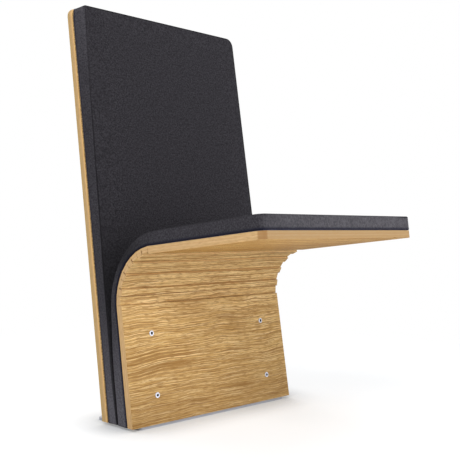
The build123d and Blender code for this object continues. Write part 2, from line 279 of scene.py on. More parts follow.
# ---- oak plywood ----------------------------------------------------------------------------
# the figure is noise drawn out along the grain, which runs along X. For each layer: how much of
# X is left, an offset that sets it apart, its scale across the grain, detail and roughness
GRAIN = {
    "broad": (0.06, 5.0, 50.0, 2, 0.5),
    "streak": (0.008, 1.3, 320.0, 3, 0.7),
    "dash": (0.016, 7.7, 450.0, 2, 0.6),
    "gleam": (0.018, 11.2, 470.0, 2, 0.6),
    "short": (0.08, 15.0, 560.0, 1, 0.5),
    "spacing": (0.05, 19.0, 26.0, 2, 0.5),
    "strength": (0.05, 24.0, 75.0, 2, 0.6),
    "pores": (0.08, 2.9, 1500.0, 1, 0.5),
    "crisp": (0.012, 33.0, 300.0, 1, 0.5),
    "bow": (0.01, 4.4, 150.0, 1, 0.5),
    "figure": (0.07, 30.0, 46.0, 3, 0.65),
}
DRIFT = 0.020  # how far the grain wanders, in long and in short waves
WAVE = 0.0040
# the grain bows round a fault near the panel's near edge: s where the bow rises and where it
# falls, its height, and how far in across the panel it reaches
FAULT_RISE = (0.070, 0.125)
FAULT_FALL = (0.140, 0.210)
FAULT_HEIGHT = 0.010
FAULT_X = -0.150
# the bow's own lines: s where they come and go, and X where
BOW_RISE = (0.085, 0.115)
BOW_FALL = (0.145, 0.175)
BOW_X = (0.04, -0.12)
GROWTH_LINES = 132.0  # to the metre
GROWTH_SPREAD = 5.0  # how unevenly they are spaced
# places along the boards between which the figure changes
LOW_PANEL = (0.06, 0.20)  # growth lines get clearer up the panel,
TO_SLATS = (0.20, 0.29)  # and strong towards the slats
TO_PALE = (0.18, 0.30)  # the veneer turns paler
# painted shade: the panel is painted darker down towards its foot, where shade falls near the
# floor
TO_DARK = (0.16, 0)  # it is darker down at the foot
OFF_SLATS = (LAST_HINGE, LAST_HINGE + 0.02)  # what belongs to the slats alone ends
TO_SEAT = (LAST_HINGE - 0.010, LAST_HINGE + 0.030)  # the seat's own figure starts,
PAST_SEAT = (SEAT_END + 0.2, SEAT_END + 0.3)  # and ends before the back board's
# a small knot at the seat board's near front corner: its place, and its radius without and with
# its soft rim
KNOT_X, KNOT_S = -HALF + 0.006, SEAT_END - 0.004
KNOT_RADIUS = (0.007, 0.012)
# a saw cut's line starts at this share of the board's thickness, up from its rear face
CUT_START = (0.15, 0.34)
# half its width where it is darkest and with its soft rim, on the side edges and across the face
SIDE_CUT = (0.0011, 0.0020)
FRONT_CUT = (0.0010, 0.0019)

OAK_STREAKS = (
    (0.36, srgb(156, 116, 62)),
    (0.46, srgb(191, 152, 92)),
    (0.52, srgb(203, 165, 104)),
    (0.62, srgb(226, 192, 130)),
)
OAK_DARK = srgb(140, 101, 54)
OAK_WARM = srgb(212, 175, 114)
OAK_DEEP = srgb(168, 127, 70)
OAK_PALE = srgb(236, 203, 146)
OAK_GLEAM = srgb(243, 215, 162)
OAK_LIT = srgb(243, 212, 152)
OAK_SHADED = srgb(138, 97, 48)
OAK_PORE = srgb(136, 97, 52)
OAK_CLOUD = srgb(181, 142, 84)
OAK_FOOT_SHADE = srgb(150, 112, 64)
OAK_BOW = srgb(146, 106, 54)
OAK_FIGURE = srgb(164, 120, 62)
OAK_BELOW = (0.98, 0.92, 0.77, 1)  # multiplies the veneer under the seat
OAK_FIBRE = srgb(180, 140, 90)
OAK_KNOT = srgb(150, 108, 62)
OAK_CUT = srgb(122, 84, 46)

# plies across a board's edge, from its rear face to its front
FRONT_EDGE = (
    (0.0, srgb(210, 172, 118)),
    (0.2, srgb(220, 184, 134)),
    (0.38, srgb(212, 172, 122)),
    (0.55, srgb(222, 186, 138)),
    (0.75, srgb(212, 173, 122)),
    (1.0, srgb(220, 182, 130)),
)
NOSE_EDGE = tuple((place, shade(colour, 0.66)) for place, colour in FRONT_EDGE)
# painted light: the saw-cut walls of the panel and the slats are painted paler than the plies
# elsewhere, standing for light that fills the shade in the grooves
LIT_SAWN_EDGE = ((0.0, srgb(232, 197, 140)), (1.0, srgb(238, 203, 146)))
BACK_EDGE = (
    (0.0, srgb(196, 162, 100)),
    (0.22, srgb(206, 174, 120)),
    (0.45, srgb(200, 168, 120)),
    (0.62, srgb(218, 180, 130)),
    (0.72, srgb(216, 178, 128)),
    (0.82, srgb(246, 200, 132)),
    (1.0, srgb(224, 184, 122)),
)


def grain_layers(g, x, s):
    """Where a point lies across the wandering grain, and the noise of every layer there."""
    drift = g.noise(g.combine(g.times(x, 1.6), s, 0.7), 4.0, 2, 0.5)
    wave = g.noise(g.combine(x, g.times(s, 1.5), 3.1), 17.0, 2, 0.5)
    near_fault = g.times(g.smooth(s, *FAULT_RISE), g.smooth(s, *FAULT_FALL, 1, 0))
    fault = g.times(near_fault, g.smooth(x, -HALF, FAULT_X, FAULT_HEIGHT, 0))
    bent = g.plus(s, g.times(drift, DRIFT), g.times(wave, WAVE), fault)
    layers = {}
    for name, (stretch, offset, *kind) in GRAIN.items():
        layers[name] = g.noise(g.combine(g.times(x, stretch), bent, offset), *kind)
    return bent, layers


def growth_lines(g, s, bent, grain):
    """Growth lines: each starts sharp and dark and fades out downwards."""
    shift = g.times(grain["spacing"], GROWTH_SPREAD)
    phase = g.math("FRACT", g.plus(g.times(bent, GROWTH_LINES), shift))
    return g.times(
        g.ramp(phase, 0.02, 0.22, 1, 0),
        g.ramp(grain["strength"], 0.38, 0.60, 0, 0.72),
        # faint at the panel's foot, strong on the slats, faint again under the seat
        g.ramp(s, *LOW_PANEL, 0.30, 0.62),
        g.ramp(s, *TO_SLATS, 1, 3.6),
        g.ramp(s, LAST_HINGE, SEAT_END, 1, 0.3),
    )


def veneer(g, x, s, bent, grain):
    """The colour of a board's face."""
    off_seat = g.ramp(s, *OFF_SLATS, 1, 0)
    upper_slats = g.times(g.smooth(s, HINGE_S[3], HINGE_S[7]), off_seat)
    by_fault = g.times(g.smooth(s, *BOW_RISE), g.smooth(s, *BOW_FALL, 1, 0))
    bow_line = g.times(g.ramp(grain["bow"], 0.49, 0.54, 0, 0.75), by_fault, g.smooth(x, *BOW_X))
    cloud = g.noise(g.combine(g.times(x, 1.4), s, 9.0), 7.0, 3, 0.5)
    # the veneer under the seat is browner, with wider figure
    below = g.times(g.ramp(s, *TO_SEAT), g.ramp(s, *PAST_SEAT, 1, 0))
    tone = g.paint(
        g.bands(grain["streak"], OAK_STREAKS),
        (g.smooth(grain["broad"], 0.42, 0.62, 0, 0.25), OAK_WARM),
        (g.smooth(grain["broad"], 0.34, 0.46, 0.22, 0), OAK_DEEP),
        (g.times(g.smooth(s, *TO_PALE, 0, 0.40), off_seat), OAK_PALE),
        (g.ramp(grain["gleam"], 0.52, 0.57, 0, 0.75), OAK_GLEAM),
        (g.ramp(grain["dash"], 0.54, 0.59, 0, 0.7), OAK_DARK),
        (growth_lines(g, s, bent, grain), OAK_DARK),
        (g.times(g.ramp(grain["crisp"], 0.53, 0.58, 0, 0.75), upper_slats), OAK_LIT),
        (g.times(g.ramp(grain["crisp"], 0.47, 0.42, 0, 0.75), upper_slats), OAK_SHADED),
        (g.ramp(grain["short"], 0.53, 0.61, 0, 0.6), OAK_DARK),
        (g.ramp(grain["pores"], 0.60, 0.70, 0, 0.35), OAK_PORE),
        (g.ramp(cloud, 0.35, 0.68, 0, 0.18), OAK_CLOUD),
        # painted shade at the panel's foot
        (g.smooth(s, *TO_DARK, 0, 0.38), OAK_FOOT_SHADE),
        (bow_line, OAK_BOW),
        (g.times(g.ramp(grain["figure"], 0.44, 0.56, 0, 0.6), below), OAK_FIGURE),
    )
    return g.mix(below, tone, OAK_BELOW, "MULTIPLY")


def ply_edge(g, x, s, depth, thickness, heading, edge, cut_end):
    """The colour of a board's edges, where its plies lie parallel to the face."""
    wobble = g.noise(g.combine(x, s, depth), 30.0, 2, 0.5)
    ply = g.plus(g.math("DIVIDE", depth, thickness), g.ramp(wobble, 0, 1, -0.05, 0.05))
    fibre = g.noise(g.combine(g.times(x, 0.08), g.times(s, 0.08), depth), 900.0, 2, 0.6)
    knot = g.distance(g.minus(x, KNOT_X), g.minus(s, KNOT_S))
    return g.paint(
        g.bands(ply, edge),
        (g.ramp(g.facing((0, *along(heading))), 0.5, 0.9), g.bands(ply, cut_end)),
        (g.ramp(fibre, 0.42, 0.66, 0, 0.5), OAK_FIBRE),
        (g.smooth(knot, *KNOT_RADIUS, 0.7, 0), OAK_KNOT),
    )


def oak(name, heading, start, s_start, thickness, edge, cut_end, joints=()):
    """Oak-faced plywood. Veneer grain runs across the seat; edges show the plies.

    start is the (Y, Z) of a point on the rear face and s_start its place along the boards, so
    that the figure runs on from the panel over the slats to the seat. Each joint is a saw cut:
    a (Y, Z) on it, the direction away from it into this piece, and how dark its line is on the
    boards' side edges.
    """
    made, g, shader = material(name)
    point = g.object_point()
    x = g.split(point)[0]
    s = g.plus(g.run(point, start, along(heading)), s_start)
    depth = g.run(point, start, outward(heading))
    on_face = g.ramp(g.facing((0, *outward(heading))), 0.72, 0.86)
    bent, grain = grain_layers(g, x, s)
    colour = g.mix(
        on_face,
        ply_edge(g, x, s, depth, thickness, heading, edge, cut_end),
        veneer(g, x, s, bent, grain),
    )

    # saw cuts, on the side edges and across the face
    on_side = g.times(
        g.smooth(depth, *(share * thickness for share in CUT_START)),
        g.ramp(g.facing((1, 0, 0)), 0.5, 0.9, 0.06, 1),
    )
    on_front = g.times(
        on_face,
        g.ramp(grain["strength"], 0.30, 0.55, 0.4, 0.8),
        g.ramp(s, HINGE_S[0], HINGE_S[1], 0.4, 1),
    )
    for place, into, darkness in joints:
        away = g.run(point, place, into)
        side_line = g.times(g.smooth(away, *SIDE_CUT, darkness, 0), on_side)
        front_line = g.times(g.ramp(away, *FRONT_CUT, 1, 0), on_front)
        colour = g.mix(g.highest(side_line, front_line), colour, OAK_CUT)
    g.plug(colour, shader.inputs["Base Color"])

    g.plug(g.ramp(grain["streak"], 0.3, 0.7, 0.58, 0.72), shader.inputs["Roughness"])
    shader.inputs["Specular IOR Level"].default_value = 0.12
    relief = g.minus(g.times(grain["streak"], 0.6), g.ramp(grain["pores"], 0.6, 0.7, 0, 0.5))
    g.bump(relief, shader, 0.00025, 0.6)
    return made


def ease_edges(node, width):
    """Rounds a CAD piece's sharp edges with modifiers; its mesh is left alone."""
    weld = node.modifiers.new("weld", "WELD")
    weld.merge_threshold = 1e-6
    bevel = node.modifiers.new("bevel", "BEVEL")
    bevel.width = width
    bevel.segments = 2
    bevel.limit_method = "ANGLE"
    bevel.angle_limit = radians(28)
    bevel.harden_normals = True


def dress(node_name, finish, eased=0.0):
    """Gives a CAD piece its finish, and eased edges where a width is given."""
    node = nodes[node_name]
    node.data.materials.clear()
    node.data.materials.append(finish)
    if eased:
        ease_edges(node, eased)


REAR_OF_PANEL = FOOT - FRONT_BOARD * outward(0)
REAR_OF_BACK = FOOT - TOTAL * outward(0)
BACK_FIGURE = 1.7  # s that the back board's figure starts from, far from the front's
BOARD_EASE = 0.0008
SLAT_EASE = 0.0004
PLATE_EASE = 0.0007
# how dark the saw cut shows at each hinge, from the panel to the seat
CUT_SHOWS = (0.2, 0.35, 0.75, 0.4, 0.85, 0.3, 1.0, 0.3, 0.9, 0.3)


def saw_cut(hinge, side):
    """The cut at a hinge, seen from the piece above it (side 1) or below it (side -1)."""
    return HINGE_YZ[hinge], side * along((hinge + 0.5) * STEP), CUT_SHOWS[hinge]


def dress_boards():
    """Oak for the panel, the back, the slats and the seat."""
    panel = oak(
        "oak_panel", 0, REAR_OF_PANEL, 0, FRONT_BOARD, FRONT_EDGE, LIT_SAWN_EDGE, [saw_cut(0, -1)]
    )
    dress("front_panel", panel)
    back = oak("oak_back", 0, REAR_OF_BACK, BACK_FIGURE, BACK_BOARD, BACK_EDGE, BACK_EDGE)
    dress("back_panel", back, BOARD_EASE)
    for number in range(1, HINGES + 1):
        # from hinge to hinge: the slats, and then the seat board
        last = number == HINGES
        cuts = [saw_cut(number - 1, 1)]
        if not last:
            cuts.append(saw_cut(number, -1))
        finish = oak(
            "oak_seat" if last else f"oak_slat_{number}",
            number * STEP,
            HINGE_YZ[number - 1],
            HINGE_S[number - 1],
            FRONT_BOARD,
            FRONT_EDGE,
            NOSE_EDGE if last else LIT_SAWN_EDGE,
            cuts,
        )
        if last:
            dress("seat_board", finish, BOARD_EASE)
        else:
            dress(f"slat_{number}", finish, SLAT_EASE)


dress_boards()


# ---- metal, plastic and board ---------------------------------------------------------------
def metal(name, colour, roughness):
    """Plain metal with a fine, uneven surface."""
    made, g, shader = material(name)
    speck = g.noise(g.object_point(), 1800.0, 3, 0.6)
    mottled = g.ramp(speck, 0.3, 0.7)
    g.plug(g.mix(mottled, colour, shade(colour, 0.86)), shader.inputs["Base Color"])
    shader.inputs["Metallic"].default_value = 1.0
    g.plug(g.ramp(speck, 0.3, 0.7, roughness, roughness + 0.12), shader.inputs["Roughness"])
    g.bump(speck, shader, 0.00005, 0.4)
    return made


def painted(name, colour, roughness):
    """Fine-textured powder paint."""
    made, g, shader = material(name)
    point = g.object_point()
    orange_peel = g.noise(point, 1500.0, 2, 0.5)
    cloud = g.noise(point, 14.0, 3, 0.6)
    cloudy = g.ramp(cloud, 0.3, 0.7)
    g.plug(g.mix(cloudy, colour, shade(colour, 0.84)), shader.inputs["Base Color"])
    g.plug(g.ramp(cloud, 0.3, 0.7, roughness, roughness + 0.1), shader.inputs["Roughness"])
    g.bump(orange_peel, shader, 0.00008, 0.5)
    return made


def bolt_finish():
    """Bright zinc, with painted shade down in and round the hexagon socket."""
    made, g, shader = material("bolt_zinc")
    point = g.object_point()
    s = g.run(point, FOOT, along(0))
    off_x = g.minus(g.math("ABSOLUTE", g.split(point)[0]), BOLT_X)
    off_s = g.minus(g.math("ABSOLUTE", g.minus(s, BOLT_MIDDLE)), BOLT_PITCH / 2)
    # painted shade: black and not metallic in and round the socket
    socket_shade = g.ramp(g.distance(off_x, off_s), *BOLT_SOCKET_SHADE, 1, 0)
    speck = g.noise(point, 2500.0, 2, 0.6)
    bright = g.mix(g.ramp(speck, 0.35, 0.7), srgb(196, 198, 208), srgb(166, 169, 180))
    g.plug(g.mix(socket_shade, bright, srgb(14, 14, 16)), shader.inputs["Base Color"])
    g.plug(g.times(g.minus(1.0, socket_shade), 0.6), shader.inputs["Metallic"])
    g.plug(g.ramp(speck, 0.3, 0.7, 0.34, 0.46), shader.inputs["Roughness"])
    g.bump(speck, shader, 0.00003, 0.4)
    return made


def dress_fittings():
    """Finishes for the plate, the uprights, the bolts and what lies inside."""
    plate_paint = painted("plate_paint", srgb(172, 174, 184), 0.42)
    dress("base_plate", plate_paint, PLATE_EASE)
    dress("upright_left", plate_paint)
    dress("upright_right", plate_paint)
    dress("panel_bolts", bolt_finish())
    zinc = metal("zinc", srgb(200, 202, 206), 0.34)
    dress("threaded_inserts", zinc)
    dress("seat_screws", zinc)
    steel = metal("spring_steel", srgb(70, 74, 92), 0.38)
    for name in nodes:
        if name.startswith("spring_sheet"):
            dress(name, steel)
    dress("back_pad_board", painted("pad_board", srgb(38, 40, 62), 0.7))
    dress("pad_clips", painted("clip_plastic", srgb(44, 44, 48), 0.45))


dress_fittings()

# ---- upholstery -----------------------------------------------------------------------------
# the cloth's darker and lighter wool: on the pads' faces, on their side strips, on the seat's
# front strip, and on the side strips near the floor
FACE_WOOL = srgb(28, 26, 30), srgb(59, 57, 62)
STRIP_WOOL = srgb(44, 42, 47), srgb(68, 66, 71)
# painted light: the seat's front strip is painted lighter, as a lamp in front of it lights it
LIT_FRONT_WOOL = srgb(70, 68, 73), srgb(98, 96, 101)
LOW_WOOL = srgb(80, 78, 84), srgb(112, 110, 117)
FLECK = srgb(104, 101, 108)
CLOTH_CLOUD = srgb(44, 42, 47)
BETWEEN_YARNS = srgb(24, 23, 26)
SEAM = srgb(15, 14, 17)
# painted shadow along the pads' bottoms
BOTTOM_SHADE = srgb(12, 12, 14)
# painted shade round the bend and low on the back pad's face
PAINTED_SHADE = srgb(12, 12, 13)
FOOT_NAVY = srgb(10, 14, 34)
YARN = 3150.0  # radians to the metre: yarns are 2 mm apart
# the side strips are lighter down towards the floor, and up towards the top
STRIP_FOOT = (0.24, 0)
STRIP_TOP = (0.78, 0.92)
# half the width of seam and piping, where they are darkest and with their soft rims
SEAM_WIDTH = (0.0010, 0.0026)
PIPING_WIDTH = (0.0022, 0.0040)
# painted shadow along the pads' bottoms, where they meet the plate: its height where it is darkest
# and with its soft rim
BOTTOM_SHADE_HEIGHT = (0.0010, 0.0026)
# the seam is fainter at the near side, at the foot and towards the top
SEAM_X = (-HALF + 0.020, -HALF + 0.040)
SEAM_FOOT = (0.02, 0.22)
SEAM_TOP = (0.52, 0.84)
# the piping runs along the back pad's top and both pads' far sides, and ends short of the near one
PIPING_TOP = (0.78, 0.85)
PIPING_FAR = (0.19, 0.22)
PIPING_NEAR = (-HALF + 0.018, -HALF + 0.030)


def twill(g, point, x, s, n):
    """Yarns that cross each other on a pad's face and on its side strips."""
    u = g.plus(x, g.times(n, 0.5))
    v = g.plus(s, g.times(n, 0.5))
    wobble = g.noise(point, 180.0, 2, 0.5)
    warp = g.math("SINE", g.plus(g.times(g.plus(u, v), YARN), wobble))
    weft = g.math("SINE", g.times(g.minus(u, v), YARN))
    return g.highest(warp, weft)


def side_strip(g, s, front, lighter):
    """The colour of the pads' side strips, with the seat's front strip, painted light, where front
    is 1.
    """
    at_ends = g.highest(g.ramp(s, *STRIP_FOOT), g.ramp(s, *STRIP_TOP, 0, 0.35))
    return g.paint(
        g.mix(lighter, *STRIP_WOOL),
        (front, g.mix(lighter, *LIT_FRONT_WOOL)),
        (at_ends, g.mix(lighter, *LOW_WOOL)),
    )


def seams(g, x, s, edge):
    """Where the seam or the piping shows along the pads' sewn edges."""
    off_seam = g.math("ABSOLUTE", edge)
    seam = g.times(
        g.smooth(off_seam, *SEAM_WIDTH, 1, 0),
        g.ramp(x, *SEAM_X, 0.75, 0.92),
        g.ramp(s, *SEAM_FOOT, 0.35, 1),
        g.ramp(s, *SEAM_TOP, 1, 0.4),
    )
    piping = g.times(
        g.highest(g.ramp(s, *PIPING_TOP), g.ramp(x, *PIPING_FAR)),
        g.ramp(x, *PIPING_NEAR),
        g.smooth(off_seam, *PIPING_WIDTH, 0.95, 0),
    )
    return g.highest(seam, piping)


def cloth_finish():
    """Charcoal wool: twill threads, a melange of greys, soft sheen and dark seams.

    The pads carry what it is painted by: flat, a point's place before the pad was laid over its
    board, edge, its distance from the sewn edge, and three shares: front, painted light on the
    seat's front strip; bend_shade, painted shade round the bend; and foot.
    """
    made, g, shader = material("charcoal_wool")

    def stored(name, output="Fac"):
        return g.new("Attribute", attribute_name=name).outputs[output]

    point = stored("flat", "Vector")
    x, s, n = g.split(point)
    weave = twill(g, point, x, s, n)
    melange = g.noise(point, 260.0, 4, 0.75)
    cloud = g.noise(point, 22.0, 3, 0.6)
    speck = g.noise(point, 520.0, 3, 0.7)
    lighter = g.ramp(melange, 0.40, 0.60)
    edge = stored("edge")
    seam = seams(g, x, s, edge)
    colour = g.paint(
        g.mix(lighter, *FACE_WOOL),
        (g.ramp(edge, -0.0003, 0.0003, 1, 0), side_strip(g, s, stored("front"), lighter)),
        (g.ramp(speck, 0.58, 0.75, 0, 0.35), FLECK),
        (g.ramp(cloud, 0.35, 0.7, 0, 0.22), CLOTH_CLOUD),
        (g.ramp(weave, -0.4, 0.6, 0.20, 0), BETWEEN_YARNS),
        (seam, SEAM),
        # painted shadow along the pads' bottoms
        (g.smooth(s, *BOTTOM_SHADE_HEIGHT, 0.85, 0), BOTTOM_SHADE),
        # painted shade round the front pad's bend and low on the back pad's face
        (g.times(stored("bend_shade"), 0.75), PAINTED_SHADE),
        (stored("foot"), FOOT_NAVY),
    )
    g.plug(colour, shader.inputs["Base Color"])
    shader.inputs["Roughness"].default_value = 0.95
    shader.inputs["Specular IOR Level"].default_value = 0.15
    shader.inputs["Sheen Weight"].default_value = 0.12
    shader.inputs["Sheen Roughness"].default_value = 0.45
    shader.inputs["Sheen Tint"].default_value = srgb(190, 188, 200)
    height = g.minus(g.plus(g.times(weave, 0.5), g.times(melange, 1.2)), g.times(seam, 1.6))
    g.bump(height, shader, 0.0003, 0.55)
    return made


wool = cloth_finish()

PAD_CLEAR = 0.0005  # the pads start this far inside the CAD pads' sides
PAD_HALF = HALF + PAD_PROUD - PAD_CLEAR
PAD_DRAW = 0.0025  # how far a pad's foot is pulled in
PAD_SWELL = 0.0006  # how far its sides swell
PAD_HELD = 0.004  # its board holds it up to this height
RIM = 0.0022  # round of a pad's outer rim
BACK_PUFF = 0.0012  # the most that the simulation moves a point
FRONT_PUFF = 0.0007
PUFF_STEPS = 20
PUFF_SETTINGS = {
    "quality": 6,
    "mass": 0.3,
    "tension_stiffness": 25,
    "compression_stiffness": 25,
    "shear_stiffness": 10,
    "bending_stiffness": 2,
    "use_pressure": True,
    "uniform_pressure_force": 4,
}

# grid lines in from a pad's sides, up from its board, and up through its rim
FINE = np.array([0, 0.5, 1.0, 1.6, 2.2, 3.2, 5, 8, 12, 18, 25]) / 1000
UP_LINES = np.array([0, 0.8, 1.6, 2.6, 4, 7, 11, 15, 20, 25]) / 1000
RIM_LINES = np.linspace(0, RIM, 6)
# between lines: elsewhere, along the front pad's flat lengths, and round its bend
PITCH = 0.011
FLAT_PITCH = 0.010
BEND_PITCH = 0.0049

# up the back pad's near side: how far the seam lies back on the side strip, and how far the
# strip leans in at the face
SEAM_UP = np.array([0, 90, 222, 313, 449, 630, 812, 936]) / 1000
SEAM_DRIFT = np.array([-3, -5.5, -2, 0, 0, 0, 0, 0]) / 1000
SEAM_LEAN = np.array([0, 0, 0, 0, 3, 6, 10, 14]) / 1000
LEAN_WIDTH = 0.07  # across the pad, the lean fades out over this width
# radius of the back pad's top corners, at the board and at the face
FAR_CORNER = (0.006, CORNER)
NEAR_CORNER = (0.007, 0.004)
# at the board, the back pad's top comes down to the board's own, and at the near side by this
# much, over this width
NEAR_DROP = 0.0085
NEAR_WIDTH = 0.06
TOP_ZONE = 0.05  # the drop starts this far below the top
# painted shade: the back pad's face is painted darker low down, towards the bend under the seat,
# up to here, fading in over a length
BACK_SHADE_TOP = 0.46
BACK_SHADE_FADE = 0.16
BACK_SHADE_SHARE = 0.75

# the front pad is thin round the bend: its height at both ends of the bend, how much less it is
# in the middle, and where it starts to thin on the panel and stops on the seat
PAD_AT_PANEL = 0.018
PAD_AT_SEAT = 0.028
PAD_DIP = 0.0055
TAPER_START = 0.100
SEAT_TAPER = 0.060
THIN_FROM = 0.006  # the pad's lowest part keeps its height
SKEW_LENGTH = 0.15  # over this length the pad's foot is cut level with the plate
BEND_EASE = 0.03  # the puff fades over this length at the bend's ends
BEND_STIFF = 0.7  # share of the puff that the bend lacks
# the seat's front strip, painted light: how deep it reaches, and how much lighter it is painted at
# places across, from its near corner, where painted shade falls, to the far side
FRONT_DEPTH = 0.012
FRONT_X = [-HALF, -0.235, -0.17, 0.2]
FRONT_PAINTED_LIGHT = [0.15, 0.5, 0.8, 1.15]
# painted shade: the front pad is painted darker round the bend, where it bends sharpest and shade
# falls
BEND_SHADE_AT = HINGE_S[6] - 0.005
BEND_SHADE_REACH = 0.050
BEND_SHADE_STRIP, BEND_SHADE_FACE = 0.85, 0.5  # how much on the side strips and on the face
# up from a pad's board, its foot is navy to this height
BACK_NAVY = 0.0036
FRONT_NAVY = 0.0048


def spread(start, end, pitch):
    """Evenly spaced lines, about a pitch apart."""
    return np.linspace(start, end, max(2, round((end - start) / pitch) + 1))


def lines_across():
    inner = spread(-PAD_HALF + FINE[-1], PAD_HALF - FINE[-1], PITCH)[1:-1]
    return np.concatenate([-PAD_HALF + FINE, inner, (PAD_HALF - FINE)[::-1]])


def lines_through(height):
    return np.concatenate([UP_LINES, RIM_LINES + (height - RIM)])


def lattice(xs, ss, ns):
    """Points and outward quads on the six sides of a box, on the given grid lines."""
    size = (len(xs), len(ss), len(ns))
    grid = np.indices(size)
    last = np.array(size).reshape(3, 1, 1, 1) - 1
    outer = ((grid == 0) | (grid == last)).any(0)
    index = np.full(size, -1)
    index[outer] = np.arange(outer.sum())
    cells = grid[:, outer].T
    points = np.stack([xs[cells[:, 0]], ss[cells[:, 1]], ns[cells[:, 2]]], 1)
    quads = []
    for axis in range(3):
        for end in (0, -1):
            sheet = np.take(index, end, axis=axis)
            a, b = sheet[:-1, :-1], sheet[1:, :-1]
            c, d = sheet[1:, 1:], sheet[:-1, 1:]
            order = (a, b, c, d) if (end == -1) == (axis != 1) else (a, d, c, b)
            quads.append(np.stack([q.ravel() for q in order], 1))
    return points, np.concatenate(quads), cells


def round_rim(points, end, height, corner):
    """Rounds a box lattice: its top rim, and the plan corners at its far end."""
    x, s, n = points.T.copy()
    side = np.sign(x)
    inset_x = PAD_HALF - np.abs(x)
    inset_s = end - s
    inset = np.minimum(inset_x, inset_s)
    a = np.clip(1 - inset / RIM, 0, 1)
    b = np.clip((n - (height - RIM)) / RIM, 0, 1)
    a_round = a * np.sqrt(1 - b**2 / 2)
    b_round = b * np.sqrt(1 - a**2 / 2)
    new_inset = np.where((a > 0) & (b > 0), RIM * (1 - a_round), inset)
    n = np.where(b > 0, height - RIM + RIM * b_round, n)

    def shift(value):
        near = (value < corner) & (inset < corner)
        stretch = (corner - new_inset) / np.maximum(corner - inset, 1e-9)
        return np.where(near, new_inset + (value - inset) * stretch, value)

    inset_x, inset_s = shift(inset_x), shift(inset_s)
    p = np.clip(1 - inset_x / corner, 0, 1)
    q = np.clip(1 - inset_s / corner, 0, 1)
    reach = np.maximum(p, q)
    angle = np.where(
        p >= q, pi / 4 * q / np.maximum(p, 1e-9), pi / 2 - pi / 4 * p / np.maximum(q, 1e-9)
    )
    turn = (p > 0) & (q > 0)
    inset_x = np.where(turn, corner * (1 - reach * np.cos(angle)), inset_x)
    inset_s = np.where(turn, corner * (1 - reach * np.sin(angle)), inset_s)
    return np.stack([side * (PAD_HALF - inset_x), end - inset_s, n], 1)


def draw_in(points, height, full=1.0):
    """Pulls a pad's foot in to its board and lets its sides swell between foot and rim.

    full is the share of the swell at each point.
    """
    x, s, n = points.T.copy()
    tuck = PAD_DRAW * np.clip(1 - n / PAD_HELD, 0, 1) ** 2
    swell = PAD_SWELL * np.sin(pi * np.clip(n / height, 0, 1)) ** 0.8 * full
    at_side = np.clip((np.abs(x) / HALF - 0.9) / 0.1, 0, 1)
    x = x + np.sign(x) * (swell - tuck) * at_side
    return np.stack([x, s, n], 1)


def mesh_object(name, points, quads):
    mesh = bpy.data.meshes.new(name)
    mesh.from_pydata([tuple(p) for p in points], [], [tuple(int(i) for i in q) for q in quads])
    mesh.update()
    made = bpy.data.objects.new(name, mesh)
    bpy.context.scene.collection.objects.link(made)
    return made


def puff(points, quads, cap):
    """Inflates a flat pad as cloth, held at its foot, and returns the moved points."""
    hold = np.clip(1 - points[:, 2] / PAD_HELD, 0, 1)
    dummy = mesh_object("puffing", points, quads)
    group = dummy.vertex_groups.new(name="hold")
    for vertex in np.nonzero(hold > 0)[0]:
        group.add([int(vertex)], float(hold[vertex]), "REPLACE")
    cloth = dummy.modifiers.new("cloth", "CLOTH")
    for key, value in PUFF_SETTINGS.items():
        setattr(cloth.settings, key, value)
    cloth.settings.vertex_group_mass = "hold"
    cloth.settings.effector_weights.gravity = 0
    cloth.collision_settings.use_collision = False
    cloth.point_cache.frame_start = 1
    cloth.point_cache.frame_end = PUFF_STEPS
    scene = bpy.context.scene
    for step in range(1, PUFF_STEPS + 1):
        scene.frame_set(step)
    evaluated = dummy.evaluated_get(bpy.context.evaluated_depsgraph_get())
    moved = np.zeros(len(points) * 3, np.float32)
    evaluated.data.vertices.foreach_get("co", moved)
    moved = moved.reshape(-1, 3) - points
    scene.frame_set(1)
    bpy.data.objects.remove(dummy)
    length = np.linalg.norm(moved, axis=1, keepdims=True)
    return points + moved * (cap * np.tanh(length / cap) / np.maximum(length, 1e-9))


def smooth_normals(points, quads):
    """Normals at the points of a whole pad, so that its pieces meet without a crease."""
    a, b, c, d = (points[quads[:, k]] for k in range(4))
    face = np.cross(c - a, d - b)
    total = np.zeros_like(points)
    for k in range(4):
        np.add.at(total, quads[:, k], face)
    return total / np.maximum(np.linalg.norm(total, axis=1, keepdims=True), 1e-12)


def foot_share(shaped, height):
    """How navy a pad is: 1 at its board, 0 from a height on."""
    return np.clip(1 - shaped[:, 2] / height, 0, 1) ** 0.35


def edge_distance(flat, end, height, drift=0.0):
    """Distance from the pad's sewn edge: more than 0 on its face, less on its side strips."""
    x, s, n = flat.T
    inset = np.minimum(np.minimum(PAD_HALF + x - drift, PAD_HALF - x), end - s)
    return inset - (height - n)


def pad_piece(name, points, quads, normals, flat, shares):
    """One piece of a pad, with what the cloth is painted by stored at its points."""
    used, inverse = np.unique(quads, return_inverse=True)
    piece = mesh_object(name, points[used], inverse.reshape(quads.shape))
    mesh = piece.data
    place = mesh.attributes.new("flat", "FLOAT_VECTOR", "POINT")
    place.data.foreach_set("vector", flat[used].astype(np.float32).ravel())
    for key, values in shares.items():
        held = mesh.attributes.new(key, "FLOAT", "POINT")
        held.data.foreach_set("value", values[used].astype(np.float32))
    mesh.polygons.foreach_set("use_smooth", [True] * len(mesh.polygons))
    mesh.normals_split_custom_set_from_vertices([tuple(v) for v in normals[used]])
    mesh.materials.append(wool)
    return piece


def lean_near_side(points):
    """Leans the back pad's near side strip in over the pad."""
    x, s, n = points.T.copy()
    near = np.clip(1 - (PAD_HALF + x) / LEAN_WIDTH, 0, 1)
    lean = np.interp(s, SEAM_UP, SEAM_LEAN) * (n / BACK_PAD) * near
    return np.stack([x + lean, s, n], 1)


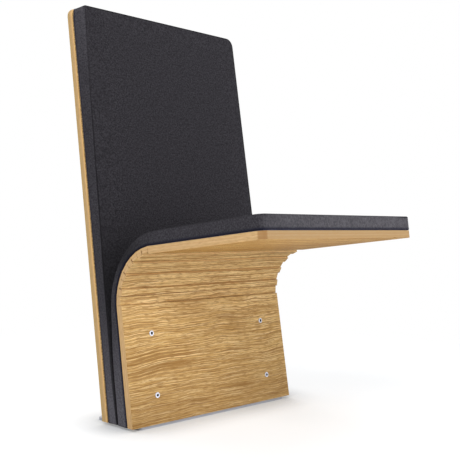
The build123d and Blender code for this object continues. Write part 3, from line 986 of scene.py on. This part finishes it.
def back_pad():
    """The back pad. Flat places are across, up from the plate, and forward from its board."""
    top = HEIGHT + PAD_RISE - PLATE
    ss = np.concatenate([spread(0, top - FINE[-1], PITCH)[:-1], (top - FINE)[::-1]])
    flat, quads, _ = lattice(lines_across(), ss, lines_through(BACK_PAD))
    edge = edge_distance(flat, top, BACK_PAD, np.interp(flat[:, 1], SEAM_UP, SEAM_DRIFT))

    share = np.clip(flat[:, 2] / BACK_PAD, 0, 1)
    far = flat[:, 0] > 0
    at_board = np.where(far, FAR_CORNER[0], NEAR_CORNER[0])
    at_face = np.where(far, FAR_CORNER[1], NEAR_CORNER[1])
    corner = at_board * (1 - share) + at_face * share
    shaped = lean_near_side(round_rim(flat, top, BACK_PAD, corner))
    drop = np.interp(shaped[:, 0], [-PAD_HALF, NEAR_WIDTH - PAD_HALF], [NEAR_DROP, PAD_RISE])
    at_top = np.clip((shaped[:, 1] - top + TOP_ZONE) / TOP_ZONE, 0, 1)
    shaped[:, 1] -= drop * (1 - share) * at_top
    # the sides swell least at their ends
    full = np.clip(np.sin(pi * np.clip(shaped[:, 1] / top, 0, 1)), 0, 1) ** 0.5
    shaped = puff(draw_in(shaped, BACK_PAD, full), quads, BACK_PUFF)
    shaped[:, 2] *= BACK_PAD / shaped[:, 2].max()

    x, v, n = shaped.T
    forward = n - BACK_REAR
    up = (v - forward * sin(radians(LEAN))) / cos(radians(LEAN))
    yz = FOOT + up[:, None] * along(0) + forward[:, None] * outward(0)
    points = np.column_stack([x, yz])
    on_face = n > 0.8 * BACK_PAD
    # painted shade low on the back pad's face
    low_face_shade = np.clip((BACK_SHADE_TOP - v) / BACK_SHADE_FADE, 0, 1) ** 1.3 * BACK_SHADE_SHARE * on_face
    shares = {
        "foot": foot_share(shaped, BACK_NAVY),
        "edge": edge,
        "front": np.zeros(len(points)),
        "bend_shade": low_face_shade,
    }
    normals = smooth_normals(points, quads)
    piece = pad_piece("back_pad", points, quads, normals, shaped, shares)
    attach(piece, "frame")
    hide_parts("back_cover", "back_foam")


def pad_height(s):
    """Thickness of the front pad along its length, thin round the bend."""
    share = np.clip((s - HINGE_S[0]) / (LAST_HINGE - HINGE_S[0]), 0, 1)
    bend = PAD_AT_PANEL + (PAD_AT_SEAT - PAD_AT_PANEL) * share - PAD_DIP * np.sin(pi * share)
    fall = np.clip((s - TAPER_START) / (HINGE_S[0] - TAPER_START), 0, 1)
    rise = np.clip((s - LAST_HINGE) / SEAT_TAPER, 0, 1)
    low = FRONT_PAD - (FRONT_PAD - PAD_AT_PANEL) * fall**1.7
    high = PAD_AT_SEAT + (FRONT_PAD - PAD_AT_SEAT) * (1 - (1 - rise) ** 2)
    return np.where(s < HINGE_S[0], low, np.where(s > LAST_HINGE, high, bend))


# the same, with its kinks evened out
EVEN_S = np.linspace(-0.05, SEAT_END + 0.05, 900)
EVEN_WINDOW = np.hanning(43)[1:-1] / np.hanning(43).sum()
EVEN_HEIGHT = np.convolve(
    np.pad(pad_height(EVEN_S), len(EVEN_WINDOW) // 2, mode="edge"), EVEN_WINDOW, "valid"
)


def lay_front(shaped):
    """Bends flat places of the front pad over the boards, at rest."""
    x, s, n = shaped.T
    depth = SHEET + n
    lean_in = np.clip(1 - s / SKEW_LENGTH, 0, 1) ** 2 * np.tan(radians(LEAN))
    s = s + (FRONT_BOARD + depth) * lean_in
    step = np.clip(np.searchsorted(CUTS, s, "right"), 0, HINGES)
    hinge = np.clip(step - 1, 0, HINGES - 1)
    before, after = CUTS[hinge], CUTS[np.minimum(hinge + 1, HINGES)]
    turn = (hinge + np.clip((s - before) / (after - before), 0, 1)) * STEP
    angle = np.radians(LEAN - turn)
    ahead = np.column_stack([np.sin(angle), np.cos(angle)])
    out = np.column_stack([-np.cos(angle), np.sin(angle)])
    yz = HINGE_YZ[hinge] + (s - HINGE_S[hinge])[:, None] * ahead - depth[:, None] * out
    return np.column_stack([x, yz])


def join_front_piece(piece, part):
    """Makes a length of the front pad ride on the frame or the seat, or fixes its place round the
    bend, and hides the CAD nodes it stands in for.
    """
    if part == 0:
        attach(piece, "frame")
        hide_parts("lower_cover", "lower_foam")
    elif part > HINGES:
        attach(piece, "seat")
        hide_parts("seat_cover", "seat_foam")
    else:
        start, end = (
            lay_front(np.array([[0, cut, -SHEET]]))[0] for cut in (CUTS[part - 1], CUTS[part])
        )
        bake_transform(piece)
        if part <= SLATS:
            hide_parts(f"bend_pad_{part}")


def front_pad():
    """The front pad. Flat places are across, along the boards, and out from the spring sheet."""
    end = SEAT_END + PAD_PROUD - PAD_CLEAR
    bend = [spread(a, b, BEND_PITCH)[:-1] for a, b in zip(CUTS[:-1], CUTS[1:])]
    low = spread(0, CUTS[0], FLAT_PITCH)[:-1]
    high = spread(CUTS[-1], end - FINE[-1], FLAT_PITCH)[:-1]
    ss = np.concatenate([low, *bend, high, (end - FINE)[::-1]])
    flat, quads, cells = lattice(lines_across(), ss, lines_through(FRONT_PAD))
    edge = edge_distance(flat, end, FRONT_PAD)
    # painted light on the seat's front strip, with painted shade towards its near corner
    front = np.clip(1 - (end - flat[:, 1]) / FRONT_DEPTH, 0, 1)
    front = front * np.interp(flat[:, 0], FRONT_X, FRONT_PAINTED_LIGHT)
    # painted shade round the bend
    bend_shade = np.exp(-(((flat[:, 1] - BEND_SHADE_AT) / BEND_SHADE_REACH) ** 2))
    bend_shade = bend_shade * np.where(edge < 0, BEND_SHADE_STRIP, BEND_SHADE_FACE)

    shaped = draw_in(round_rim(flat, end, FRONT_PAD, SEAT_CORNER), FRONT_PAD)
    moved = puff(shaped, quads, FRONT_PUFF) - shaped
    in_bend = np.clip((shaped[:, 1] - CUTS[0] + BEND_EASE) / BEND_EASE, 0, 1)
    in_bend *= np.clip((CUTS[-1] + BEND_EASE - shaped[:, 1]) / BEND_EASE, 0, 1)
    shaped = shaped + moved * (1 - BEND_STIFF * in_bend)[:, None]
    shaped[:, 2] *= FRONT_PAD / shaped[:, 2].max()
    height = np.interp(shaped[:, 1], EVEN_S, EVEN_HEIGHT)
    shaped[:, 2] *= 1 + (height / FRONT_PAD - 1) * np.clip(shaped[:, 2] / THIN_FROM, 0, 1)

    points = lay_front(shaped)
    normals = smooth_normals(points, quads)
    shares = {
        "foot": foot_share(shaped, FRONT_NAVY),
        "edge": edge,
        "front": front,
        "bend_shade": bend_shade,
    }
    # cut between the slats
    lowest = cells[quads, 1].min(1)
    part_of = np.searchsorted(np.searchsorted(ss, CUTS - 1e-7), lowest, "right")
    for part in range(HINGES + 2):
        name = {0: "lower", HINGES + 1: "seat"}.get(part, f"bend_{part}")
        chosen = quads[part_of == part]
        piece = pad_piece(f"front_pad_{name}", points, chosen, normals, shaped, shares)
        join_front_piece(piece, part)


back_pad()
front_pad()


# ---- camera ---------------------------------------------------------------------------------
PHOTO = 460  # pixels, each way
FOCAL = 840.68  # pixels
CENTRE_X, CENTRE_Y = 232, 185
SENSOR = 36  # millimetres
CAMERA_AT = Vector((-1.39485, -1.35798 + FRONT_Y, 0.43923 + PLATE))
AZIMUTH, ELEVATION, ROLL = radians(-46.48), radians(2.33), radians(0.77)


def place_camera():
    """Puts the camera where the photograph was taken from, as fitted to its straight edges."""
    ahead = Vector(
        (-sin(AZIMUTH) * cos(ELEVATION), cos(AZIMUTH) * cos(ELEVATION), sin(ELEVATION))
    )
    level = Vector((cos(AZIMUTH), sin(AZIMUTH), 0))
    upright = level.cross(ahead)
    right = level * cos(ROLL) + upright * sin(ROLL)
    up = -level * sin(ROLL) + upright * cos(ROLL)
    data = bpy.data.cameras.new("camera")
    data.sensor_width = SENSOR
    data.lens = FOCAL * SENSOR / PHOTO
    data.shift_x = (PHOTO / 2 - CENTRE_X) / PHOTO
    data.shift_y = (CENTRE_Y - PHOTO / 2) / PHOTO
    data.clip_start = 0.05
    data.clip_end = 100
    camera = bpy.data.objects.new("camera", data)
    bpy.context.scene.collection.objects.link(camera)
    turned = Matrix((right, up, -ahead)).transposed()
    camera.matrix_world = Matrix.Translation(CAMERA_AT) @ turned.to_4x4()
    bpy.context.scene.camera = camera


place_camera()

# ---- floor, background and light ------------------------------------------------------------
FLOOR_REACH = 30
FLOOR_GREY = (0.488, 0.5, 0.514, 1)
FLOOR_WHITE = (0.55, 1.5)  # between these distances the floor goes over into plain white
SHADOW_REACH = 0.11  # of the narrow shadow where something stands on the floor
AMBIENT = 0.36

# name, place, target, size and power in watts
SOFTBOXES = (
    ("key", (-2.6, -1.4, 2.6), (0, -0.1, 0.45), (1.6, 1.6), 80),
    ("front", (1.4, -3.0, 0.5), (0, -0.1, 0.45), (1.8, 1.4), 49),
    ("top", (0.2, 0.1, 3.2), (0, 0, 0.4), (2.2, 2.2), 26),
    ("rear", (1.6, 2.6, 1.8), (0, 0.1, 0.45), (1.8, 1.4), 24),
    ("under", (-0.1, -0.62, 0.03), (-0.08, -0.58, 1.0), (1.05, 0.6), 2.2),
)


def floor():
    """A pale floor that keeps the seat's shadow and goes over into the white background."""
    r = FLOOR_REACH
    made = mesh_object("floor", [(-r, -r, 0), (r, -r, 0), (r, r, 0), (-r, r, 0)], [(0, 1, 2, 3)])
    finish = bpy.data.materials.new("floor")
    finish.use_nodes = True
    g = Graph(finish.node_tree)
    seen = g.seen()
    from_seat = g.new("VectorMath", operation="LENGTH")
    g.feed(from_seat, g.object_point())
    far = g.smooth(from_seat.outputs["Value"], *FLOOR_WHITE)
    near = g.new("AmbientOcclusion", samples=8)
    near.inputs["Distance"].default_value = SHADOW_REACH
    lift = g.ramp(near.outputs["AO"], 0.62, 0.99, 0.26, 0.60)
    diffuse = g.feed(g.new("BsdfDiffuse"), FLOOR_GREY)
    lifted = g.feed(g.new("Emission"), WHITE, g.times(seen, lift))
    shadowed = g.feed(g.new("AddShader"), diffuse, lifted)
    plain = g.feed(g.new("Emission"), WHITE, 1.0)
    surface = g.feed(g.new("MixShader"), g.times(seen, far), shadowed, plain)
    g.plug(surface, g.new("OutputMaterial").inputs[0])
    made.data.materials.append(finish)


def backdrop():
    """A white background over a plain, softer ambient light."""
    world = bpy.data.worlds.new("studio")
    bpy.context.scene.world = world
    world.use_nodes = True
    g = Graph(world.node_tree)
    soft = g.feed(g.new("Background"), WHITE, AMBIENT)
    white = g.feed(g.new("Background"), WHITE, 1.0)
    surface = g.feed(g.new("MixShader"), g.seen(), soft, white)
    g.plug(surface, g.new("OutputWorld").inputs[0])


def softbox(name, place, target, size, watts):
    """A soft light that points at a target and isn't seen itself."""
    data = bpy.data.lights.new(name, "AREA")
    data.shape = "RECTANGLE"
    data.size, data.size_y = size
    data.energy = watts
    made = bpy.data.objects.new(name, data)
    bpy.context.scene.collection.objects.link(made)
    made.location = place
    made.visible_camera = False
    made.rotation_mode = "QUATERNION"
    made.rotation_quaternion = (Vector(target) - Vector(place)).to_track_quat("-Z", "Y")


floor()
backdrop()
for row in SOFTBOXES:
    softbox(*row)

bpy.context.scene.view_settings.view_transform = "Standard"
